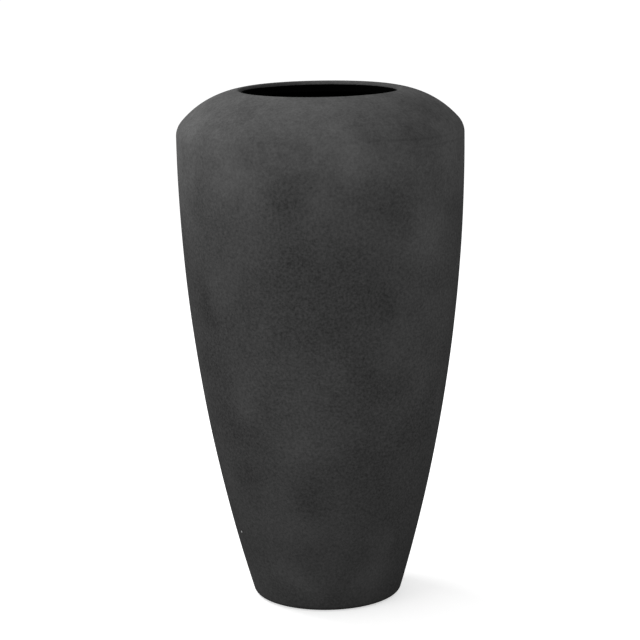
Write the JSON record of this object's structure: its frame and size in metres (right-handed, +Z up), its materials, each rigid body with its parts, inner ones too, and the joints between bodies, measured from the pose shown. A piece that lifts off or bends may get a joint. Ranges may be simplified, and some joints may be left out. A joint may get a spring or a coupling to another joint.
{
  "type": "tall fiberglass planter",
  "caption": "Tall tapered floor planter in glass-fibre laminate, with a domed shoulder, a rolled lip round a wide mouth, and a rubber bung in its drain hole.",
  "frame": {"origin": "on the floor at the planter's axis, in the plane that its foot stands on", "axes": "+Z up along the planter's axis of revolution; +X to the right and +Y away, as the picture sees it"},
  "size_m": [0.5539, 0.554, 1],
  "materials": {
    "laminate_body": "matte",
    "laminate_shoulder": "matte",
    "filler": "matte",
    "glass_mat": "satin",
    "roving": "satin",
    "floor_mat": "satin",
    "bung_rubber": "matte"
  },
  "bodies": {
    "planter": {"body_shell": "laminate_body", "shoulder_shell": "laminate_shoulder", "joint_filler": "filler", "joint_band": "glass_mat", "lip_stiffener": "roving", "base_reinforcement": "floor_mat"},
    "drain_plug": {"drain_plug": "bung_rubber"}
  },
  "joints": [
    {"name": "plug_pull", "type": "slide", "parent": "planter", "child": "drain_plug", "axis": [0, 0, -1], "range_m": [0, 0.06]}
  ]
}
